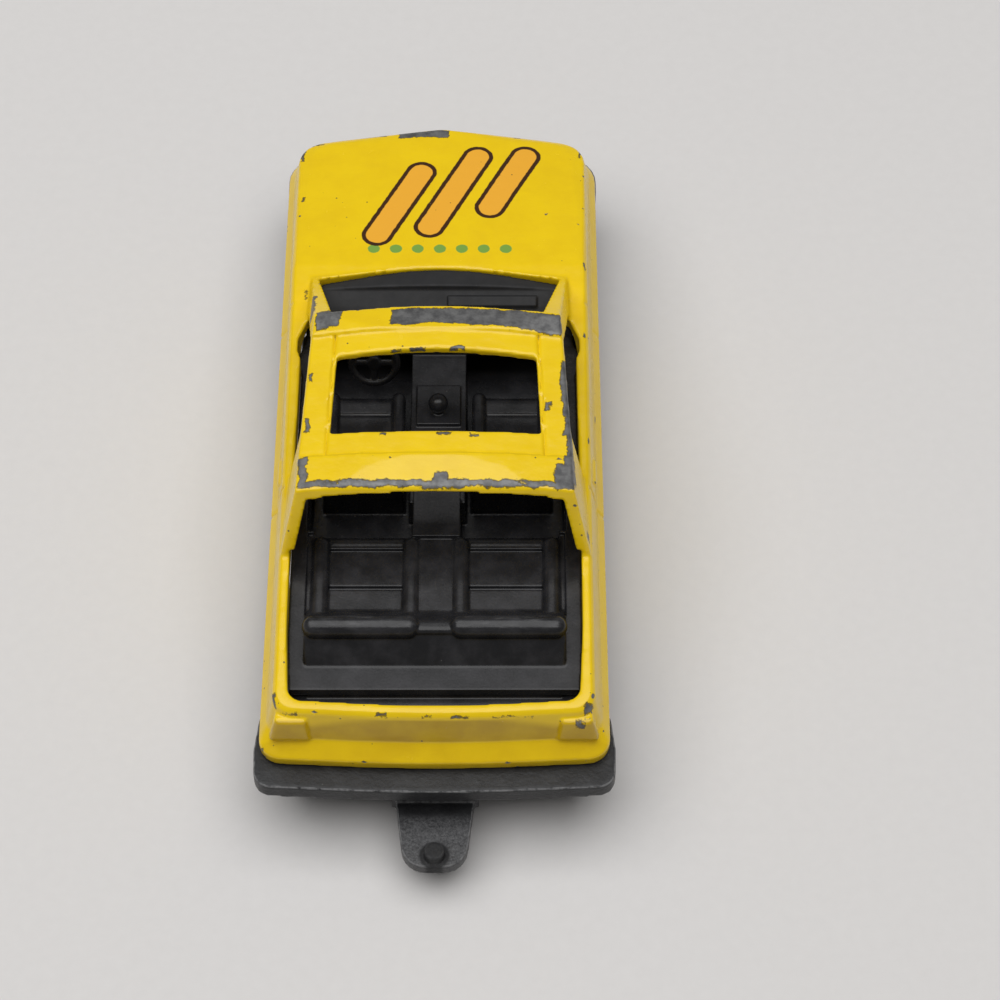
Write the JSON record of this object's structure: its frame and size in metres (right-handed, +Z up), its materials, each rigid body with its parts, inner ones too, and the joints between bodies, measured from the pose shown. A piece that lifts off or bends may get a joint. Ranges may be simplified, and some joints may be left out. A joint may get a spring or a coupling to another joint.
{
  "type": "toy car",
  "caption": "Small die-cast toy car, open-topped with a targa roof, black plastic interior, bumpers and tow tongue, with sprung axles and free-rolling wheels.",
  "frame": {"origin": "on the ground under the middle of the overall length, tow tongue included, and of the width", "axes": "+Y is the front of the car, +X its right side, +Z up"},
  "size_m": [0.0302, 0.075, 0.0208],
  "materials": {
    "yellow_paint": "glossy paint on zinc, chipped to bare metal at the edges",
    "black_plastic": "moulded, slightly worn",
    "wheel_plastic": "moulded",
    "axle_steel": "drawn wire",
    "spring_steel": "rolled strip"
  },
  "bodies": {
    "chassis": {"body_casting": "yellow_paint", "chassis_base": "black_plastic", "interior_tub": "black_plastic", "front_axle_spring": "spring_steel", "rear_axle_spring": "spring_steel"},
    "front_axle_set": {"front_axle": "axle_steel"},
    "rear_axle_set": {"rear_axle": "axle_steel"},
    "front_left": {"front_left_wheel": "wheel_plastic"},
    "front_right": {"front_right_wheel": "wheel_plastic"},
    "rear_left": {"rear_left_wheel": "wheel_plastic"},
    "rear_right": {"rear_right_wheel": "wheel_plastic"}
  },
  "joints": [
    {"name": "front_suspension", "type": "slide", "parent": "chassis", "child": "front_axle_set", "axis": [0, 0, 1], "range_m": [0, 0.0005], "stiffness_N_per_m": 250, "springref_m": -0.0012, "deforming": ["front_axle_spring"]},
    {"name": "rear_suspension", "type": "slide", "parent": "chassis", "child": "rear_axle_set", "axis": [0, 0, 1], "range_m": [0, 0.0005], "stiffness_N_per_m": 250, "springref_m": -0.0012, "deforming": ["rear_axle_spring"]},
    {"name": "front_left_spin", "type": "hinge", "parent": "front_axle_set", "child": "front_left", "pos_m": [-0.0112, 0.0237, 0.0052], "axis": [1, 0, 0], "continuous": true},
    {"name": "front_right_spin", "type": "hinge", "parent": "front_axle_set", "child": "front_right", "pos_m": [0.0112, 0.0237, 0.0052], "axis": [1, 0, 0], "continuous": true},
    {"name": "rear_left_spin", "type": "hinge", "parent": "rear_axle_set", "child": "rear_left", "pos_m": [-0.0112, -0.0188, 0.0052], "axis": [1, 0, 0], "continuous": true},
    {"name": "rear_right_spin", "type": "hinge", "parent": "rear_axle_set", "child": "rear_right", "pos_m": [0.0112, -0.0188, 0.0052], "axis": [1, 0, 0], "continuous": true}
  ]
}
